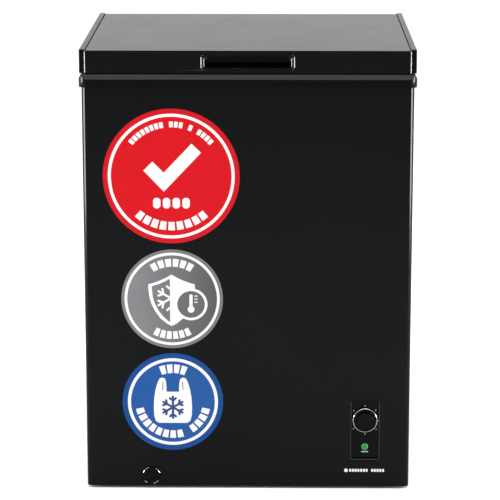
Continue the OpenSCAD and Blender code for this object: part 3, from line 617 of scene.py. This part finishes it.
def lathe_y(name, profile, centre, count=96):
    """A ring turned about an axis along Y: the profile is (radius, y) in metres, closed."""
    mesh = bpy.data.meshes.new(name)
    turned = bmesh.new()
    loops = []
    for i in range(count):
        a = 2 * math.pi * i / count
        loops.append([turned.verts.new((centre[0] + r * math.cos(a), y, centre[1] + r * math.sin(a)))
                      for r, y in profile])
    for i, loop in enumerate(loops):
        following = loops[(i + 1) % count]
        for j in range(len(profile)):
            k = (j + 1) % len(profile)
            face = turned.faces.new((loop[j], loop[k], following[k], following[j]))
            face.smooth = True
    bmesh.ops.recalc_face_normals(turned, faces=turned.faces)
    turned.to_mesh(mesh)
    turned.free()
    return mesh


def ring_profile(radius, y, wide, deep, steps=12):
    return [(radius + wide * math.cos(a), y + deep * math.sin(a))
            for a in (2 * math.pi * i / steps for i in range(steps))]


def make_dial_ring():
    """A bright ring let into the dial's edge."""
    low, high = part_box("thermostat_knob")
    inset, back = 1.2 * MM, 4.6 * MM
    profile = ring_profile((high.x - low.x) / 2 - inset, high.y - back, 0.8 * MM, 1 * MM)
    ring = lathe_y("dial_ring", profile, middle_of(low, high))
    add_piece("dial_ring", ring, chrome, "dial", "pin_steel")


def make_lamp_rim():
    """A pale rim round the lamp's lens."""
    low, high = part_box("lamp_lens")
    outset, back = 0.6 * MM, 2.4 * MM
    profile = ring_profile((high.x - low.x) / 2 + outset, high.y - back, 0.7 * MM, 0.5 * MM)
    rim = lathe_y("lamp_rim", profile, middle_of(low, high), 48)
    add_piece("lamp_rim", rim, lens_rim, "cabinet", "green_lens")


def bead(name, paths, radius, finish, body, slot, closed=True):
    return add_piece(name, wires(name, paths, radius, closed), finish, body, slot)


def end_arcs(half, z0, z1, y, radius, steps=6):
    """Two upright lines with turned-in ends, like a pair of brackets."""
    right = [(half - radius + radius * math.cos(a), y, z + radius * math.sin(a))
             for z, start in ((z0 + radius, 270), (z1 - radius, 0))
             for a in (math.radians(start + 90 * i / steps) for i in range(steps + 1))]
    return [right, [(-x, y, z) for x, y, z in right]]


def make_handle_beads():
    """Rolled edges at the ends of the handle's recess: one on its flange and one inside its mouth."""
    low, high = (Vector(c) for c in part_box("handle_pocket"))
    z0, z1 = low.z + 3.5 * MM, high.z - 6.8 * MM
    flange = end_arcs(high.x - 2.7 * MM, z0 + 0.7 * MM, z1 - 0.7 * MM, low.y, 4.2 * MM)
    bead("handle_end_beads", flange, 0.8 * MM, beading, "lid", "black_plastic", closed=False)
    mouth = end_arcs(high.x - 7.8 * MM, z0 + 4.5 * MM, z1 - 5 * MM, low.y + 1.2 * MM, 2 * MM)
    bead("handle_mouth_beads", mouth, 0.6 * MM, beading, "lid", "black_plastic", closed=False)


def make_panel_beads():
    """Rolled edges up both sides of the control panel, and along the sill of its recess."""
    low, high = (Vector(c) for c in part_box("control_bezel"))
    inset, end_gap = 0.6 * MM, 2 * MM
    sides = [[(x, low.y, low.z + end_gap), (x, low.y, high.z - end_gap)]
             for x in (low.x + inset, high.x - inset)]
    bead("control_rim", sides, 0.4 * MM, beading, "cabinet", "black_plastic", closed=False)
    border, sill_y, sill_z = 3 * MM, low.y + 1.2 * MM, low.z + 3.6 * MM
    sill = [(low.x + border, sill_y, sill_z), (high.x - border, sill_y, sill_z)]
    bead("control_sill", [sill], 0.8 * MM, dark_ink, "cabinet", "black_plastic", closed=False)


def make_cap_beads():
    """Where each end cap meets the lid's skin: a bright bead down the front, and along the top a dark strip
    of painted shade for the shadow in the joint.
    """
    low, high = (Vector(c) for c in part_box("lid_skin"))
    end_gap, seam_in = 1 * MM, 0.8 * MM
    for side, x in (("left", low.x), ("right", high.x)):
        front = [(x, low.y, low.z + end_gap), (x, low.y, high.z - end_gap)]
        bead(f"cap_bead_{side}", [front], 0.7 * MM, beading, "lid", "black_plastic", closed=False)
        seam_x = x + seam_in if x < 0 else x - seam_in
        run = [(seam_x, low.y + end_gap, high.z), (seam_x, high.y - end_gap, high.z)]
        # A matt dark strip painted in as the joint's shadow along the top.
        bead(f"cap_gap_shade_{side}", [run], 0.8 * MM, gap_shade, "lid", "black_plastic", closed=False)


def make_drain_grips():
    """Four raised bright lines round the drain knob's rim, for turning it."""
    low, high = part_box("drain_knob")
    middle = middle_of(low, high)
    radius, outset, steps = 0.8 * MM, 0.4 * MM, 10
    reach = (high.x - low.x) / 2 + outset
    y = low.y + radius + 0.1 * MM
    arcs = []
    for start, end in ((21, 61), (108, 160), (220, 243), (283, 321)):
        angles = [math.radians(start + (end - start) * i / steps) for i in range(steps + 1)]
        arcs.append([(middle.x + reach * math.cos(a), y, middle.y + reach * math.sin(a)) for a in angles])
    bead("drain_grips", arcs, radius, chrome, "drain_spout", "pin_steel", closed=False)


def make_basket():
    """Welded wire basket: rims, uprights, floor wires and a hook along each long end."""
    low, high = (Vector(c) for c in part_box("basket"))
    reach, thick, thin, hook_wire = 17 * MM, 2.5 * MM, 1.6 * MM, 1.8 * MM
    band_lift, hook_drop, hook_inset = 4 * MM, 20 * MM, 22 * MM
    y0, y1 = low.y + reach, high.y - reach
    x0, x1 = low.x + thick, high.x - thick
    top, bottom = high.z - thick, low.z + thin
    front, back = y0 + thick, y1 - thick
    rim = [[(x0, front, top), (x1, front, top), (x1, back, top), (x0, back, top)]]
    lower = [[(x, y, z) for x, y in ((x0, front), (x1, front), (x1, back), (x0, back))]
             for z in (bottom + band_lift, bottom + (top - bottom) * 0.5)]
    heavy = wires("basket_rim", rim, thick, closed=True)
    light = wires("basket_bands", lower, thin, closed=True)
    runs = []
    across, along = 8, 15
    for i in range(along):
        y = front + (back - front) * (i + 0.5) / along
        runs.append([(x0, y, top), (x0, y, bottom), (x1, y, bottom), (x1, y, top)])
    for i in range(across):
        x = x0 + (x1 - x0) * (i + 0.5) / across
        runs.append([(x, front, top), (x, front, bottom + thin), (x, back, bottom + thin), (x, back, top)])
    grid = wires("basket_grid", runs, thin)
    hooks = []
    left, right = x0 + hook_inset, x1 - hook_inset
    for end, side in ((low.y + thick, front), (high.y - thick, back)):
        hooks.append([(left, side, top - hook_drop), (left, side, top), (left, end, top),
                      (right, end, top), (right, side, top), (right, side, top - hook_drop)])
    bent = wires("basket_hooks", hooks, hook_wire)
    mesh = joined("basket_wire", [heavy, light, grid, bent])
    add_piece("basket_wire", mesh, FINISHES["basket_coating"], "basket", "basket_coating", "basket")


def make_spring(side):
    """Wound torsion spring round one hinge pin."""
    low, high = (Vector(c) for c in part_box(f"hinge_spring_{side}"))
    middle = (low + high) / 2
    wire = 0.9 * MM
    radius = (high.z - low.z) / 2 - wire
    turns, steps = 9, 20
    count = turns * steps
    path = []
    for i in range(count + 1):
        a = 2 * math.pi * i / steps
        x = low.x + wire + (high.x - low.x - 2 * wire) * i / count
        path.append((x, middle.y + radius * math.cos(a), middle.z + radius * math.sin(a)))
    mesh = wires(f"spring_{side}", [path], wire)
    add_piece(f"spring_{side}", mesh, FINISHES["zinc_steel"], "cabinet", "zinc_steel", f"hinge_spring_{side}")


def make_gasket():
    """Magnetic lid seal: a fixing bead, a folded bellows and a flat magnet pocket, run round the lid."""
    low, high = (Vector(c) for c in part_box("lid_gasket"))
    width, corner, steps = 18 * MM, 12 * MM, 8
    height = high.z - low.z
    half = [(0.5, 1.0), (0.5, 0.82), (0.34, 0.74), (0.34, 0.66), (0.46, 0.58), (0.46, 0.5), (0.34, 0.42),
            (0.34, 0.36), (0.42, 0.3), (0.44, 0.1), (0.38, 0.0)]
    profile = [(u * width, v * height) for u, v in half]
    profile += [(-u, v) for u, v in reversed(profile)]
    x = high.x - width / 2
    y0, y1 = low.y + width / 2, high.y - width / 2
    corners = ((x, y1, 0), (-x, y1, 90), (-x, y0, 180), (x, y0, 270))
    mesh = bpy.data.meshes.new("gasket_seal")
    made = bmesh.new()
    loops = []
    for cx, cy, start in corners:
        sx, sy = (1 if cx > 0 else -1), (1 if cy > y0 else -1)
        for i in range(steps + 1):
            a = math.radians(start + 90 * i / steps)
            out = Vector((math.cos(a), math.sin(a), 0))
            base = Vector((cx - sx * corner, cy - sy * corner, low.z)) + out * corner
            loops.append([made.verts.new(base + out * u + Vector((0, 0, v))) for u, v in profile])
    for i, loop in enumerate(loops):
        following = loops[(i + 1) % len(loops)]
        for j in range(len(profile)):
            k = (j + 1) % len(profile)
            made.faces.new((loop[j], loop[k], following[k], following[j]))
    bmesh.ops.recalc_face_normals(made, faces=made.faces)
    made.to_mesh(mesh)
    made.free()
    piece = add_piece("gasket_seal", mesh, FINISHES["grey_gasket"], "lid", "grey_gasket", "lid_gasket")
    rounding = piece.modifiers.new("bevel", "BEVEL")
    rounding.width = 0.5 * MM
    rounding.segments = 2
    rounding.limit_method = "ANGLE"


# ---- stage and light -------------------------------------------------------

def make_floor():
    mesh = bpy.data.meshes.new("floor")
    size = 12
    corners = [(-size, -size, 0), (size, -size, 0), (size, size, 0), (-size, size, 0)]
    mesh.from_pydata(corners, [], [(0, 1, 2, 3)])
    floor = bpy.data.objects.new("floor", mesh)
    floor.location.z = low_all.z
    t = finish_of("pale_floor", (0.86, 0.86, 0.86), (0.85, 0.95), vary=0.01, patch=2)
    floor.data.materials.append(t.material)
    bpy.context.scene.collection.objects.link(floor)


def area_light(name, place, aim, size, power, **visible):
    """A soft box that lights the object but isn't seen itself."""
    data = bpy.data.lights.new(name, "AREA")
    data.shape = "RECTANGLE"
    data.size, data.size_y = size
    data.energy = power
    light = bpy.data.objects.new(name, data)
    light.location = place
    light.rotation_euler = (Vector(aim) - Vector(place)).to_track_quat("-Z", "Y").to_euler()
    light.visible_camera = False
    for rays, seen in visible.items():
        setattr(light, f"visible_{rays}", seen)
    bpy.context.scene.collection.objects.link(light)


def overhead_sun(strength):
    data = bpy.data.lights.new("overhead", "SUN")
    data.energy = strength
    data.angle = math.radians(80)
    bpy.context.scene.collection.objects.link(bpy.data.objects.new("overhead", data))


def make_world():
    """A white room: bright behind the object, dimmer on the side that its front reflects. The camera itself
    sees plain white."""
    dim, bright, seen = 0.35, 0.88, 1.0
    world = bpy.data.worlds.new("studio")
    bpy.context.scene.world = world
    world.use_nodes = True
    tree = world.node_tree
    background = tree.nodes["Background"]
    background.inputs["Color"].default_value = (1, 1, 1, 1)
    place = tree.nodes.new("ShaderNodeTexCoord")
    split = tree.nodes.new("ShaderNodeSeparateXYZ")
    tree.links.new(place.outputs["Generated"], split.inputs["Vector"])
    ramp = tree.nodes.new("ShaderNodeMapRange")
    ramp.inputs["From Min"].default_value = -0.8
    ramp.inputs["From Max"].default_value = 0.6
    ramp.inputs["To Min"].default_value = dim
    ramp.inputs["To Max"].default_value = bright
    tree.links.new(split.outputs["Y"], ramp.inputs["Value"])
    path = tree.nodes.new("ShaderNodeLightPath")
    mix = tree.nodes.new("ShaderNodeMix")
    mix.inputs[3].default_value = seen
    tree.links.new(ramp.outputs["Result"], mix.inputs[2])
    tree.links.new(path.outputs["Is Camera Ray"], mix.inputs["Factor"])
    tree.links.new(mix.outputs[0], background.inputs["Strength"])


def light_scene():
    """Soft boxes above, fills that light the sides, and strips that only show as reflections."""
    make_world()
    area_light("front_top", place=(0.3, -2.6, 3.4), aim=(0, 0, 0.5), size=(2.6, 1.6), power=60)
    area_light("back_top", place=(0, 2.2, 3.2), aim=(0, 0, 0.4), size=(3.0, 2.0), power=40)
    strip_z = 0.41
    for name, side in (("left", -1), ("right", 1)):
        area_light(f"{name}_fill", place=(side * 2.6, -0.4, 1.1), aim=(0, 0, 0.6), size=(0.5, 1.9), power=60,
                   glossy=False)
        area_light(f"{name}_strip", place=(side * 2.5, -1.2, strip_z), aim=(0, -0.3, strip_z),
                   size=(1.4, 0.78), power=220, diffuse=False)
    area_light("high_strip", place=(0, -2.4, 2.8), aim=(0, -0.3, 0.8), size=(3.2, 0.8), power=46,
               diffuse=False)
    overhead_sun(2.0)
    bpy.context.scene.view_settings.view_transform = "Standard"
    bpy.context.scene.view_settings.look = "None"


make_camera()
dress_cad_nodes()
for name, width in SOFT_EDGES.items():
    soften(name, width * MM)
print_red_disc()
print_grey_disc()
print_blue_disc()
mark_dial()
mark_lamp()
print_badge()
print_rating_plate()
make_dial_ring()
make_lamp_rim()
make_handle_beads()
make_panel_beads()
make_cap_beads()
make_drain_grips()
make_basket()
make_spring("left")
make_spring("right")
make_gasket()
make_floor()
light_scene()
